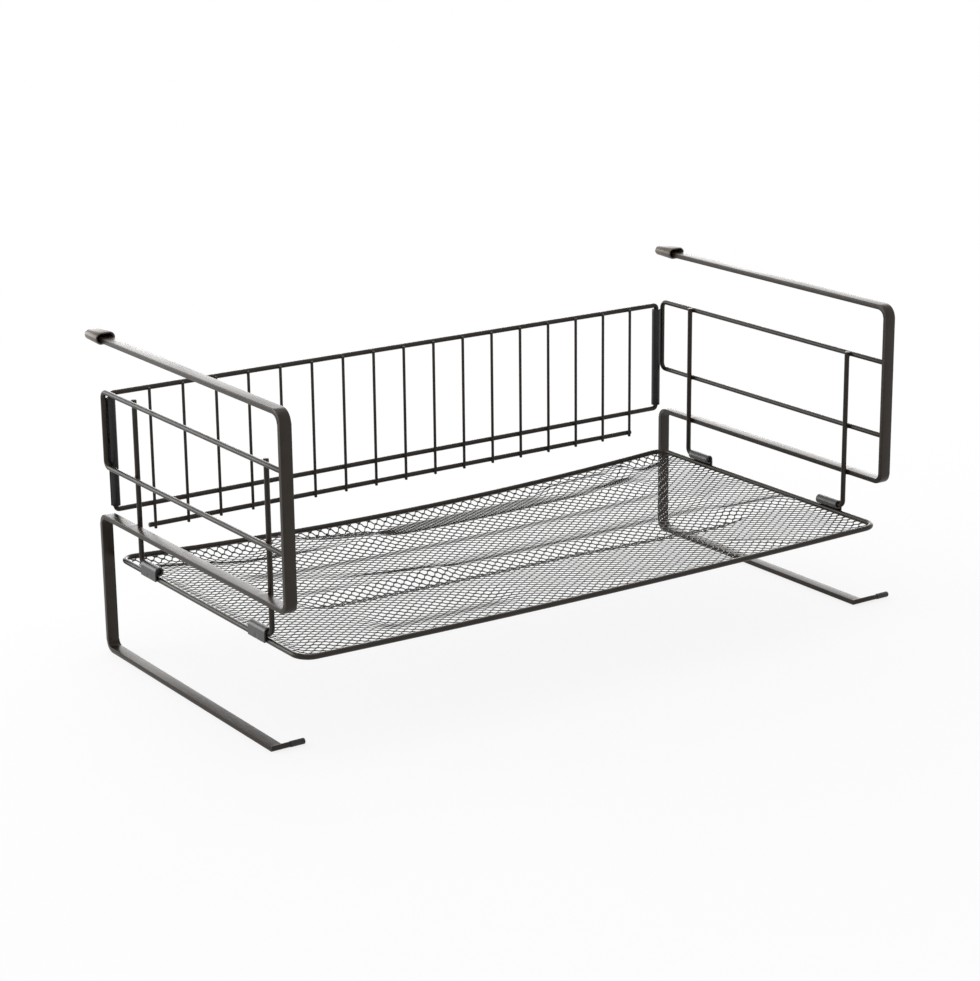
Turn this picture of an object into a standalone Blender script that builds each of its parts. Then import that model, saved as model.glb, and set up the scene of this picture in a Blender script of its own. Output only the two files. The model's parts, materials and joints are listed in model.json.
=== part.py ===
"""Under-shelf basket: a wire tray, two folding side frames and a slatted back panel.

The basket is drawn round the middle of its tray rim, then moved so that the
origin lies at the bottom centre of its box. X runs along the tray, +Y points
to the back panel and +Z is up. All sizes are in metres.
"""

import math

import bmesh
import bpy
from mathutils import Matrix, Vector

# Wire, strip and sheet stock
RIM_WIRE = 0.0032
FRAME_WIRE = 0.0030
SLAT_WIRE = 0.0018
STRIP_WIDTH = 0.0070
STRIP_THICKNESS = 0.0030
STRIP_EDGE = 0.0003
CLIP_SHEET = 0.0010
NET_SHEET = 0.0008
NET_STRAND = 0.0010

# Clearances
WELD_GAP = 0.0003
PIVOT_GAP = 0.0003
OPEN_PIVOT_GAP = 0.0009

# Tray: centre lines of the rim wire
TRAY_LENGTH = 0.4000
TRAY_DEPTH = 0.2115
RIM_CORNER = 0.0090
FRONT_SAG = 0.0020
REAR_SAG = 0.0065
SAG_STEPS = 8
NET_COLUMNS = 13
NET_ROWS = 10

# Stiffening grooves pressed into the net
GROOVE_LENGTH = 0.3090
GROOVE_WIDTH = 0.0280
GROOVE_DEPTH = 0.0032
GROOVE_END_SLOPE = 0.0065
FRONT_GROOVE_Y = -0.0260
REAR_GROOVE_Y = 0.0465

# Hinge clips on the rim and the feet of the uprights
CLIP_LENGTH = 0.0180
CLIP_LEG_DROP = 0.0008
CLIP_ROLL = math.radians(300)
FOOT_BEND = 0.0035
FOOT_RECESS = 0.0010
FRONT_UPRIGHT_Y = -0.0748
REAR_UPRIGHT_Y = 0.0769

# Side frames: heights above the rim's centre line, strip by its centre line
TOP_RAIL_Z = 0.1001
MIDDLE_RAIL_Z = 0.0552
RAIL_BEND = 0.0040
SHELF_SLOT = 0.0300
LOWER_STRIP_Z = 0.0265
BOTTOM_ARM_Z = -0.0553
FRONT_POST_Y = -0.1048
REAR_POST_Y = 0.1103
TOP_ARM_END_Y = 0.1141
TOP_FRONT_BEND = 0.0060
LOWER_FRONT_BEND = 0.0045
REAR_BEND = 0.0050

# Caps on the rear ends of the top arms
CAP_LENGTH = 0.0175
CAP_WIDTH = 0.0122
CAP_HEIGHT = 0.0070
CAP_BELOW_ARM = 0.0012
CAP_WALL = 0.0009
CAP_END_WALL = 0.0015
CAP_ROUNDING = 0.0024
CAP_SIDE_FLAT = 0.0001

# Pegs across the front ends of the bottom arms
PEG_Y = -0.0848
LEFT_PEG_LENGTH = 0.0205
RIGHT_PEG_LENGTH = 0.0282
TIP_LENGTH = 0.0090
TIP_DIAMETER = 0.0034
TIP_END_WALL = 0.0012
TIP_CHAMFER = 0.0005
SPIGOT_DIAMETER = 0.0020

# Back panel
PANEL_TOP_Z = 0.0983
PANEL_LOW_Z = 0.0284
PANEL_BOTTOM_Z = 0.0151
PANEL_BEND = 0.0022
PANEL_END_BAY = 0.02376
SLAT_COUNT = 17
SLAT_STUB = 0.0005
BOTTOM_RAIL_STUB = 0.0030
SLEEVE_SEAM = math.radians(30)

# Facets and display
BEND_STEPS = 5
ROLL_STEPS = 12
TURN_STEPS = 12
CAP_SIDE_STEPS = 4
CAP_END_STEPS = 3
WIRE_RESOLUTION = 2
SHARP_ANGLE = math.radians(60)
ROUND_PROFILE = 0.5
MERGE = 0.0001
GUIDE_SIZE = 0.0100
POINT_WEIGHT = 1.0

# Places worked out from the sizes above
HALF_LENGTH = TRAY_LENGTH / 2
HALF_DEPTH = TRAY_DEPTH / 2
CLIP_BORE = FRAME_WIRE / 2 + PIVOT_GAP
CLIP_OUTER = CLIP_BORE + CLIP_SHEET
HINGE_X = HALF_LENGTH
HINGE_Z = RIM_WIRE / 2 + WELD_GAP + CLIP_OUTER
STRIP_INNER_X = HINGE_X + FRAME_WIRE / 2 + WELD_GAP
STRIP_X = STRIP_INNER_X + STRIP_WIDTH / 2
STRIP_OUTER_X = STRIP_INNER_X + STRIP_WIDTH
RAIL_X = STRIP_INNER_X + FRAME_WIRE / 2
TOP_ARM_Z = TOP_RAIL_Z + FRAME_WIRE / 2 + SHELF_SLOT + STRIP_THICKNESS / 2
PEG_Z = BOTTOM_ARM_Z - STRIP_THICKNESS / 2 + TIP_DIAMETER / 2
PANEL_Y = REAR_POST_Y
LEFT_PIVOT_X = -(RAIL_X - FRAME_WIRE / 2 - WELD_GAP - CLIP_OUTER)
RIGHT_PIVOT_X = RAIL_X - FRAME_WIRE / 2 - OPEN_PIVOT_GAP - CLIP_OUTER
CAP_END_Y = TOP_ARM_END_Y + WELD_GAP + CAP_END_WALL
CAP_Z = TOP_ARM_Z - STRIP_THICKNESS / 2 - CAP_BELOW_ARM + CAP_HEIGHT / 2
FIRST_SLAT_X = LEFT_PIVOT_X + PANEL_END_BAY
LAST_SLAT_X = RIGHT_PIVOT_X - PANEL_END_BAY
SLAT_PITCH = (LAST_SLAT_X - FIRST_SLAT_X) / (SLAT_COUNT - 1)

# The whole basket's box, which the origin is the bottom centre of
BOX_LEFT = -(STRIP_X + CAP_WIDTH / 2)
BOX_RIGHT = STRIP_INNER_X + RIGHT_PEG_LENGTH
BOX_FRONT = -(HALF_DEPTH + RIM_WIRE / 2)
BOX_REAR = CAP_END_Y
BOX_FLOOR = BOTTOM_ARM_Z - STRIP_THICKNESS / 2
ORIGIN = Vector(((BOX_LEFT + BOX_RIGHT) / 2, (BOX_FRONT + BOX_REAR) / 2, BOX_FLOOR))

# Finishes: colour, roughness and metallic value
BROWN_BLACK = ((0.035, 0.031, 0.029), 0.24, 0.25)
MESH_BLACK = ((0.050, 0.046, 0.043), 0.32, 0.25)
CAP_BROWN = ((0.060, 0.052, 0.048), 0.30, 0.0)
TIP_BLACK = ((0.012, 0.012, 0.013), 0.38, 0.0)


def clear_scene():
    """Remove what the scene holds."""
    for old in list(bpy.data.objects):
        bpy.data.objects.remove(old, do_unlink=True)


def new_collection(name):
    """Add a collection to the scene."""
    collection = bpy.data.collections.new(name)
    bpy.context.scene.collection.children.link(collection)
    return collection


def coat(target, finish):
    """Give an object its own material."""
    colour, roughness, metallic = finish
    material = bpy.data.materials.new(target.name + "_finish")
    material.use_nodes = True
    shader = material.node_tree.nodes["Principled BSDF"]
    shader.inputs["Base Color"].default_value = (*colour, 1.0)
    shader.inputs["Roughness"].default_value = roughness
    shader.inputs["Metallic"].default_value = metallic
    target.data.materials.append(material)


def add_guide(name, location, parent=None):
    """Add an empty at a place given round the rim's middle."""
    guide = bpy.data.objects.new(name, None)
    guide.empty_display_size = GUIDE_SIZE
    guide["place"] = tuple(location)
    guide.location = location
    if parent is not None:
        guide.parent = parent
        guide.location = Vector(location) - Vector(parent["place"])
    basket.objects.link(guide)
    return guide


def add_piece(name, data, guide, finish, at=(0, 0, 0)):
    """Add a piece whose data is drawn round the place at, and hang it on a guide."""
    piece = bpy.data.objects.new(name, data)
    basket.objects.link(piece)
    piece.parent = guide
    piece.location = Vector(at) - Vector(guide["place"])
    coat(piece, finish)
    return piece


def fillet(corners, steps=BEND_STEPS, closed=False):
    """Round a path's corners: each corner is a point with its bend radius."""
    points = []
    count = len(corners)
    for index, (corner, radius) in enumerate(corners):
        corner = Vector(corner)
        is_end = not closed and index in (0, count - 1)
        if is_end or radius == 0:
            points.append(corner)
            continue
        before = (Vector(corners[index - 1][0]) - corner).normalized()
        after = (Vector(corners[(index + 1) % count][0]) - corner).normalized()
        half_angle = before.angle(after) / 2
        centre = corner + (before + after).normalized() * (radius / math.sin(half_angle))
        start = corner + before * (radius / math.tan(half_angle)) - centre
        axis = after.cross(before)
        angle = math.pi - 2 * half_angle
        for step in range(steps + 1):
            points.append(centre + Matrix.Rotation(angle * step / steps, 3, axis) @ start)
    return points


def add_wire(name, points, diameter, guide, finish, closed=False):
    """Add a round wire along a path."""
    curve = bpy.data.curves.new(name, "CURVE")
    curve.dimensions = "3D"
    curve.bevel_depth = diameter / 2
    curve.bevel_resolution = WIRE_RESOLUTION
    curve.use_fill_caps = True
    spline = curve.splines.new("POLY")
    spline.points.add(len(points) - 1)
    for point, place in zip(spline.points, points):
        point.co = (*place, POINT_WEIGHT)
    spline.use_cyclic_u = closed
    spline.use_smooth = True
    return add_piece(name, curve, guide, finish)


def solidify(piece, thickness):
    """Thicken an open surface evenly to both sides."""
    shell = piece.modifiers.new("thickness", "SOLIDIFY")
    shell.thickness = thickness
    shell.offset = 0
    shell.use_even_offset = True
    shell.use_rim = True


def add_ribbon(name, path, across, thickness, guide, finish, edge=0.0):
    """Add sheet or strip of an even thickness that follows a path."""
    mesh = bpy.data.meshes.new(name)
    bm = bmesh.new()
    across = Vector(across)
    rows = []
    for place in path:
        low = bm.verts.new(Vector(place) - across / 2)
        high = bm.verts.new(Vector(place) + across / 2)
        rows.append((low, high))
    for row, following in zip(rows, rows[1:]):
        bm.faces.new((row[0], following[0], following[1], row[1]))
    bm.to_mesh(mesh)
    bm.free()
    piece = add_piece(name, mesh, guide, finish)
    solidify(piece, thickness)
    if edge > 0:
        rounding = piece.modifiers.new("edges", "BEVEL")
        rounding.width = edge
        rounding.segments = 1
        rounding.limit_method = "ANGLE"
        rounding.angle_limit = SHARP_ANGLE
    return piece


def add_turned(name, profile, start, guide, finish):
    """Add a turned piece along +X: the profile gives radius and distance from the start."""
    mesh = bpy.data.meshes.new(name)
    bm = bmesh.new()
    ring = [bm.verts.new((radius, 0, along)) for radius, along in profile]
    for point, following in zip(ring, ring[1:]):
        bm.edges.new((point, following))
    bm.to_mesh(mesh)
    bm.free()
    piece = add_piece(name, mesh, guide, finish, at=start)
    piece.rotation_euler = (0, math.pi / 2, 0)
    turning = piece.modifiers.new("turning", "SCREW")
    turning.axis = "Z"
    turning.steps = TURN_STEPS
    turning.render_steps = TURN_STEPS
    turning.use_merge_vertices = True
    turning.merge_threshold = MERGE
    turning.use_smooth_shade = True
    return piece


def tray_drop(x, y):
    """Give how far the tray's rim and net hang below the rim's corners."""
    to_rear = (y + HALF_DEPTH) / TRAY_DEPTH
    sag = FRONT_SAG * (1 - to_rear) + REAR_SAG * to_rear
    return sag * (1 - (x / HALF_LENGTH) ** 2)


def groove_drop(x, y):
    """Give the depth of the two pressed grooves at a place on the net."""
    drop = 0.0
    for middle in (FRONT_GROOVE_Y, REAR_GROOVE_Y):
        across = 1 - abs(y - middle) / (GROOVE_WIDTH / 2)
        along = (GROOVE_LENGTH / 2 - abs(x)) / GROOVE_END_SLOPE
        drop = max(drop, GROOVE_DEPTH * min(across, along, 1.0))
    return drop


def rim_path():
    """Give the closed path of the rim wire, with its sagging long sides."""
    corners = []
    for side in (-1, 1):
        corners.append(((-side * HALF_LENGTH, side * HALF_DEPTH, 0), RIM_CORNER))
        for step in range(1, SAG_STEPS):
            x = side * TRAY_LENGTH * (step / SAG_STEPS - 0.5)
            corners.append(((x, side * HALF_DEPTH, 0), 0))
        corners.append(((side * HALF_LENGTH, side * HALF_DEPTH, 0), RIM_CORNER))
    path = fillet(corners, closed=True)
    return [Vector((p.x, p.y, -tray_drop(p.x, p.y))) for p in path]


def add_net(guide):
    """Add the expanded mesh: diamond gaps between strands, with two pressed grooves."""
    half_x = HALF_LENGTH - RIM_WIRE / 2 - WELD_GAP
    half_y = HALF_DEPTH - RIM_WIRE / 2 - WELD_GAP
    corner = RIM_CORNER - RIM_WIRE / 2 - WELD_GAP
    bm = bmesh.new()
    bmesh.ops.create_grid(bm, x_segments=NET_COLUMNS, y_segments=NET_ROWS, size=1.0)
    sides = [edge for edge in bm.edges if not edge.is_boundary]
    bmesh.ops.poke(bm, faces=bm.faces[:])
    bmesh.ops.dissolve_edges(bm, edges=sides, use_verts=False)
    bmesh.ops.scale(bm, vec=(half_x, half_y, 1), verts=bm.verts[:])
    gaps = bm.faces[:]
    bmesh.ops.inset_individual(bm, faces=gaps, thickness=NET_STRAND / 2, use_even_offset=True)
    bmesh.ops.delete(bm, geom=gaps, context="FACES_ONLY")
    for vertex in bm.verts:
        over_x = abs(vertex.co.x) - (half_x - corner)
        over_y = abs(vertex.co.y) - (half_y - corner)
        if over_x > 0 and over_y > 0:
            share = max(over_x, over_y) / math.hypot(over_x, over_y)
            vertex.co.x = math.copysign(half_x - corner + over_x * share, vertex.co.x)
            vertex.co.y = math.copysign(half_y - corner + over_y * share, vertex.co.y)
        x, y = vertex.co.xy
        vertex.co.z = -tray_drop(x, y) - groove_drop(x, y)
    mesh = bpy.data.meshes.new("tray_mesh")
    bm.to_mesh(mesh)
    bm.free()
    net = add_piece("tray_mesh", mesh, guide, MESH_BLACK)
    solidify(net, NET_SHEET)


def roll(centre, radius, start, sweep, plane):
    """Give points on an arc round a centre, in the plane of two directions."""
    first, second = plane
    points = []
    for step in range(ROLL_STEPS + 1):
        angle = start + sweep * step / ROLL_STEPS
        outward = Vector(first) * math.cos(angle) + Vector(second) * math.sin(angle)
        points.append(Vector(centre) + outward * radius)
    return points


def add_clip(name, side, upright_y, guide):
    """Add a rolled clip: a tube for the upright's foot, with a leg welded to the rim."""
    inward = -math.copysign(1, upright_y)
    mouth = upright_y + inward * (FOOT_BEND + PIVOT_GAP)
    middle_y = mouth + inward * CLIP_LENGTH / 2
    centre = Vector((side * HINGE_X, middle_y, HINGE_Z))
    middle_radius = CLIP_BORE + CLIP_SHEET / 2
    leg_x = side * (HINGE_X + RIM_WIRE / 2 + WELD_GAP + CLIP_SHEET / 2)
    path = [Vector((leg_x, middle_y, -CLIP_LEG_DROP)), Vector((leg_x, middle_y, RIM_WIRE / 2))]
    path += roll(centre, middle_radius, 0, CLIP_ROLL, ((side, 0, 0), (0, 0, 1)))
    add_ribbon(name, path, (0, CLIP_LENGTH, 0), CLIP_SHEET, guide, BROWN_BLACK)


def add_tray(guide):
    """Add the tray: rim wire, net and four hinge clips."""
    add_wire("tray_rim", rim_path(), RIM_WIRE, guide, BROWN_BLACK, closed=True)
    add_net(guide)
    for side_name, side in (("left", -1), ("right", 1)):
        add_clip(f"clip_{side_name}_front", side, FRONT_UPRIGHT_Y, guide)
        add_clip(f"clip_{side_name}_rear", side, REAR_UPRIGHT_Y, guide)


def add_strip(name, side, guide):
    """Add the bent flat strip: top arm, front post, lower strip, rear post and bottom arm."""
    x = side * STRIP_X
    bottom_arm_end = PEG_Y + FRAME_WIRE / 2 + WELD_GAP
    corners = [
        ((x, TOP_ARM_END_Y, TOP_ARM_Z), 0),
        ((x, FRONT_POST_Y, TOP_ARM_Z), TOP_FRONT_BEND),
        ((x, FRONT_POST_Y, LOWER_STRIP_Z), LOWER_FRONT_BEND),
        ((x, REAR_POST_Y, LOWER_STRIP_Z), REAR_BEND),
        ((x, REAR_POST_Y, BOTTOM_ARM_Z), REAR_BEND),
        ((x, bottom_arm_end, BOTTOM_ARM_Z), 0),
    ]
    across = (STRIP_WIDTH, 0, 0)
    add_ribbon(name, fillet(corners), across, STRIP_THICKNESS, guide, BROWN_BLACK, STRIP_EDGE)


def add_rail(name, side, guide):
    """Add the U-shaped wire whose two ends butt on the front post."""
    x = side * RAIL_X
    front = FRONT_POST_Y + STRIP_THICKNESS / 2 + WELD_GAP
    corners = [
        ((x, front, TOP_RAIL_Z), 0),
        ((x, REAR_POST_Y, TOP_RAIL_Z), RAIL_BEND),
        ((x, REAR_POST_Y, MIDDLE_RAIL_Z), RAIL_BEND),
        ((x, front, MIDDLE_RAIL_Z), 0),
    ]
    add_wire(name, fillet(corners), FRAME_WIRE, guide, BROWN_BLACK)


def add_upright(name, side, upright_y, guide):
    """Add an upright wire whose foot turns into its clip along the hinge axis."""
    x = side * HINGE_X
    inward = -math.copysign(1, upright_y)
    foot = FOOT_BEND + PIVOT_GAP + CLIP_LENGTH - FOOT_RECESS
    corners = [
        ((x, upright_y, TOP_RAIL_Z + FRAME_WIRE / 2), 0),
        ((x, upright_y, HINGE_Z), FOOT_BEND),
        ((x, upright_y + inward * foot, HINGE_Z), 0),
    ]
    add_wire(name, fillet(corners), FRAME_WIRE, guide, BROWN_BLACK)


def bevel_edges(bm, edges, radius, steps):
    """Round a block's edges to a radius."""
    bmesh.ops.bevel(
        bm, geom=edges, offset=radius, segments=steps, profile=ROUND_PROFILE, affect="EDGES"
    )


def add_block(width, length, height, rounding):
    """Give a mesh block along Y with half-round sides; rounding softens its +Y end."""
    bm = bmesh.new()
    bmesh.ops.create_cube(bm, size=1.0)
    bmesh.ops.scale(bm, vec=(width, length, height), verts=bm.verts[:])
    long_edges = [e for e in bm.edges if abs(e.verts[0].co.y - e.verts[1].co.y) > length / 2]
    side_radius = (height - CAP_SIDE_FLAT) / 2
    bevel_edges(bm, long_edges, side_radius, CAP_SIDE_STEPS)
    if rounding > 0:
        end = [e for e in bm.edges if all(v.co.y > length / 2 - MERGE for v in e.verts)]
        bevel_edges(bm, end, rounding, CAP_END_STEPS)
    return bm


def add_cap(name, side, guide):
    """Add the cap pushed over a top arm's rear end, hollow from its mouth."""
    mesh = bpy.data.meshes.new(name)
    body = add_block(CAP_WIDTH, CAP_LENGTH, CAP_HEIGHT, CAP_ROUNDING)
    body.to_mesh(mesh)
    body.free()
    middle = (side * STRIP_X, CAP_END_Y - CAP_LENGTH / 2, CAP_Z)
    cap = add_piece(name, mesh, guide, CAP_BROWN, at=middle)
    cavity_mesh = bpy.data.meshes.new(name + "_cavity")
    cavity = add_block(CAP_WIDTH - 2 * CAP_WALL, CAP_LENGTH, CAP_HEIGHT - 2 * CAP_WALL, 0)
    cavity.to_mesh(cavity_mesh)
    cavity.free()
    cutter = bpy.data.objects.new(name + "_cavity", cavity_mesh)
    cutters.objects.link(cutter)
    cutter.parent = cap
    cutter.location = (0, -CAP_END_WALL, 0)
    cutter.hide_render = True
    cutter.display_type = "WIRE"
    hollow = cap.modifiers.new("cavity", "BOOLEAN")
    hollow.operation = "DIFFERENCE"
    hollow.solver = "EXACT"
    hollow.object = cutter


def add_peg(name, tip_name, start_x, length, guide):
    """Add a peg across the end of a bottom arm, with its black tip."""
    start = (start_x, PEG_Y, PEG_Z)
    radius = FRAME_WIRE / 2
    spigot = SPIGOT_DIAMETER / 2
    shoulder = length - TIP_LENGTH
    spigot_end = length - TIP_END_WALL - WELD_GAP
    rod = [
        (0, spigot_end),
        (spigot, spigot_end),
        (spigot, shoulder - WELD_GAP),
        (radius, shoulder - WELD_GAP),
        (radius, 0),
        (0, 0),
    ]
    add_turned(name, rod, start, guide, BROWN_BLACK)
    outer = TIP_DIAMETER / 2
    bore = spigot + WELD_GAP
    tip = [
        (0, length),
        (outer - TIP_CHAMFER, length),
        (outer, length - TIP_CHAMFER),
        (outer, shoulder),
        (bore, shoulder),
        (bore, length - TIP_END_WALL),
        (0, length - TIP_END_WALL),
    ]
    add_turned(tip_name, tip, start, guide, TIP_BLACK)


def add_side(side_name, side, guide):
    """Add a side frame: strip, rail, uprights, cap, peg and tip."""
    add_strip(f"{side_name}_strip", side, guide)
    add_rail(f"{side_name}_rail", side, guide)
    add_upright(f"{side_name}_front_upright", side, FRONT_UPRIGHT_Y, guide)
    add_upright(f"{side_name}_rear_upright", side, REAR_UPRIGHT_Y, guide)
    add_cap(f"{side_name}_arm_cap", side, guide)
    start_x = -STRIP_OUTER_X if side < 0 else STRIP_INNER_X
    length = LEFT_PEG_LENGTH if side < 0 else RIGHT_PEG_LENGTH
    add_peg(f"{side_name}_peg", f"{side_name}_peg_tip", start_x, length, guide)


def add_sleeve(name, pivot_x, guide):
    """Add a rolled sleeve round an end wire of the back panel."""
    low = PANEL_LOW_Z + PANEL_BEND + PIVOT_GAP
    high = PANEL_TOP_Z - PANEL_BEND - PIVOT_GAP
    centre = (pivot_x, PANEL_Y, (low + high) / 2)
    outboard = math.copysign(1, pivot_x)
    start = SLEEVE_SEAM / 2
    sweep = 2 * math.pi - SLEEVE_SEAM
    path = roll(centre, CLIP_BORE + CLIP_SHEET / 2, start, sweep, ((outboard, 0, 0), (0, 1, 0)))
    add_ribbon(name, path, (0, 0, high - low), CLIP_SHEET, guide, BROWN_BLACK)


def add_panel(guide):
    """Add the back panel: wire frame, bottom rail and slats in front of them."""
    corners = [
        ((LEFT_PIVOT_X, PANEL_Y, PANEL_TOP_Z), PANEL_BEND),
        ((RIGHT_PIVOT_X, PANEL_Y, PANEL_TOP_Z), PANEL_BEND),
        ((RIGHT_PIVOT_X, PANEL_Y, PANEL_LOW_Z), PANEL_BEND),
        ((LEFT_PIVOT_X, PANEL_Y, PANEL_LOW_Z), PANEL_BEND),
    ]
    add_wire("back_frame", fillet(corners, closed=True), FRAME_WIRE, guide, BROWN_BLACK, closed=True)
    rail = [
        (FIRST_SLAT_X - BOTTOM_RAIL_STUB, PANEL_Y, PANEL_BOTTOM_Z),
        (LAST_SLAT_X + BOTTOM_RAIL_STUB, PANEL_Y, PANEL_BOTTOM_Z),
    ]
    add_wire("back_bottom_rail", rail, FRAME_WIRE, guide, BROWN_BLACK)
    slat_y = PANEL_Y - FRAME_WIRE / 2 - WELD_GAP - SLAT_WIRE / 2
    low = PANEL_BOTTOM_Z - FRAME_WIRE / 2 - SLAT_STUB
    high = PANEL_TOP_Z + SLAT_STUB
    for index in range(SLAT_COUNT):
        x = FIRST_SLAT_X + index * SLAT_PITCH
        slat = [(x, slat_y, low), (x, slat_y, high)]
        add_wire(f"back_slat_{index + 1:02d}", slat, SLAT_WIRE, guide, BROWN_BLACK)


clear_scene()
basket = new_collection("under_shelf_basket")
cutters = new_collection("cutters")

frame = add_guide("basket_frame", ORIGIN)
frame.location = (0, 0, 0)
left_hinge = add_guide("left_hinge", (-HINGE_X, 0, HINGE_Z), frame)
right_hinge = add_guide("right_hinge", (HINGE_X, 0, HINGE_Z), frame)
panel_hinge = add_guide("panel_hinge", (LEFT_PIVOT_X, PANEL_Y, PANEL_LOW_Z), left_hinge)

add_tray(frame)
add_side("left", -1, left_hinge)
add_side("right", 1, right_hinge)
add_sleeve("left_sleeve", LEFT_PIVOT_X, left_hinge)
add_sleeve("right_sleeve", RIGHT_PIVOT_X, panel_hinge)
add_panel(panel_hinge)
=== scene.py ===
"""Looks of the under-shelf basket.

Wires, strips, rolled sheet, caps and expanded mesh are drawn finely in the
places of the frame's solids. Lengths are in metres. X runs along the tray,
+Y points to the back panel and +Z is up. Most places are measured from the
middle of the tray's rim wire, TRAY.
"""

import json
import math

import bmesh
import bpy
import numpy as np
from mathutils import Matrix, Vector

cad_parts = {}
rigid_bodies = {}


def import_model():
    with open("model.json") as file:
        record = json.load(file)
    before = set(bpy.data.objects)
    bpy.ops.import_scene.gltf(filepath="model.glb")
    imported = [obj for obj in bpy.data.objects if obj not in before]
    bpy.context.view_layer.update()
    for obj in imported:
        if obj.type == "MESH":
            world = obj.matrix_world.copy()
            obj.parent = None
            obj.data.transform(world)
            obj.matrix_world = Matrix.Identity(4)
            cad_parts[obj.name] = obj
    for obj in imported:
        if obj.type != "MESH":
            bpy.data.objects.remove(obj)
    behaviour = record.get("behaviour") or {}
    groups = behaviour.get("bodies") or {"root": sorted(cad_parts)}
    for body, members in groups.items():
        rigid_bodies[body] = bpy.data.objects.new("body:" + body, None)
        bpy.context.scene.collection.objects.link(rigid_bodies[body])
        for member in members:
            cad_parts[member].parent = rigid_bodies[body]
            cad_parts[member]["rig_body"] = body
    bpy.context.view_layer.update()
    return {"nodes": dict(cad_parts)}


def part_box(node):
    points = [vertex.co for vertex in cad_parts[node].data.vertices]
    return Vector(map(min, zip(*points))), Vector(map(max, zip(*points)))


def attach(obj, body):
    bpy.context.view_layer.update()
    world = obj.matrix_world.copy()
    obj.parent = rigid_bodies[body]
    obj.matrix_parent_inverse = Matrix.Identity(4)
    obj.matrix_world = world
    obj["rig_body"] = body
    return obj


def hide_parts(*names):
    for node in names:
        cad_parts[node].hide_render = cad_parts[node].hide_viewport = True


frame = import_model()

# Stock that no box gives by itself
RIM_WIRE = 0.0032
STRIP_THICKNESS = 0.0030
CLIP_SHEET = 0.0010
WELD_GAP = 0.0003

# Tray
RIM_CORNER = 0.0090
FRONT_SAG = 0.0020
SAG_STEPS = 24

# The sheet hangs lower than the rim wire that it is welded to
DISH_DEPTH = 0.0010
DISH_REACH = 0.0080

# The two grooves pressed into the sheet: their length, the length of their
# round ends, and the sheet's height at places along Y
GROOVE_LENGTH = 0.3090
GROOVE_END = 0.0240
PRESSED_Y = (
    -0.0320, -0.0280, -0.0147, -0.0117, -0.0020, 0.0080, 0.0240,
    0.0300, 0.0410, 0.0572, 0.0670, 0.0940, 0.0985, 0.1030,
)
PRESSED_Z = (
    0.0, -0.0036, 0.0009, 0.0009, -0.0009, -0.0017, 0.0,
    0.0002, -0.0014, 0.0026, 0.0006, -0.0037, -0.0023, 0.0,
)

# The front groove's front edge turns forward at the right end
EDGE_TURN = 0.0100
EDGE_TURN_X = (0.0250, 0.1300)

# Waves in the sheet: where a soft ridge or valley starts and ends, its half
# width and its height
WAVES = (
    ((-0.148, 0.0178), (-0.058, -0.0112), 0.0105, 0.0023),
    ((-0.096, 0.0920), (-0.056, 0.0700), 0.0140, 0.0044),
    ((-0.070, 0.1030), (-0.040, 0.0960), 0.0120, -0.0022),
    ((-0.194, 0.1000), (-0.124, 0.0808), 0.0110, -0.0027),
    ((0.122, 0.0618), (0.192, 0.0768), 0.0110, 0.0012),
    ((0.148, 0.0868), (0.196, 0.1018), 0.0095, -0.0034),
    ((0.100, 0.0890), (0.158, 0.0910), 0.0085, 0.0050),
    ((0.114, -0.0732), (0.148, -0.0982), 0.0028, 0.0008),
    ((0.152, -0.0237), (0.204, -0.0302), 0.0080, 0.0022),
    ((0.158, 0.0048), (0.192, 0.0128), 0.0110, 0.0009),
    ((-0.123, -0.0712), (-0.058, -0.0692), 0.0130, -0.0028),
    ((-0.174, 0.0088), (-0.138, 0.0428), 0.0080, 0.0007),
    ((0.022, -0.0932), (0.092, -0.0962), 0.0080, 0.0010),
    ((-0.190, -0.0950), (0.190, -0.0950), 0.0060, -0.0009),
    ((-0.187, -0.0850), (-0.187, 0.0550), 0.0070, -0.0009),
)
# The sheet stays under this height, and the waves fade towards the rim
WAVE_LIMIT = 0.0008
WAVE_FADE = 0.0080

# Expanded mesh: gaps of this pitch along X and Y, strands turned out of the sheet
GAP_LENGTH = 0.0070
GAP_WIDTH = 0.0050
STRAND_WIDTH = 0.00060
STRAND_THICKNESS = 0.00046
STRAND_TILT = math.radians(-12)

# Strands overlap by a share of their width where they are bonded, and curve
# away from there. The net ends inside the rim wire, by a share of the wire
STRAND_OVERLAP = 0.44
BOND_LENGTH = 0.0010
BOND_CURVE = 0.0007
BOND_LEAN = 0.3
NET_INSET = 0.12

# The sheet's slope is taken over this distance
SLOPE_STEP = 0.0004

# Bends, to the centre line, and the lower strip's height over the rim
RAIL_BEND = 0.0040
FOOT_BEND = 0.0035
PANEL_BEND = 0.0022
TOP_FRONT_BEND = 0.0060
LOWER_FRONT_BEND = 0.0045
REAR_BEND = 0.0050
LOWER_STRIP_Z = 0.0265

# How much wider flat strip grows inside a bend
BEND_SPREAD = 0.10

# Rolled sheet
CLIP_ROLL = math.radians(300)
SLEEVE_SEAM = math.radians(30)
SHEET_EDGE = 0.00022
SHEET_EDGE_ANGLE = math.radians(55)
SHEET_SMOOTH_ANGLE = 50
DIMPLE_DEPTH = 0.00035
DIMPLE_REACH = 0.0011

# Rounded edges and ends of strip, wire and pegs
STRIP_EDGE = 0.00032
WIRE_END = 0.00045
WIRE_END_SHARE = 0.75
PEG_EDGE = 0.0008

# Caps of the top arms
CAP_ROUNDING = 0.0027
CAP_TAPER = 0.0005
CAP_WALL = 0.0009
CAP_LIP = 0.00025
CAP_SIDE_SHARE = 0.98

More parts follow.
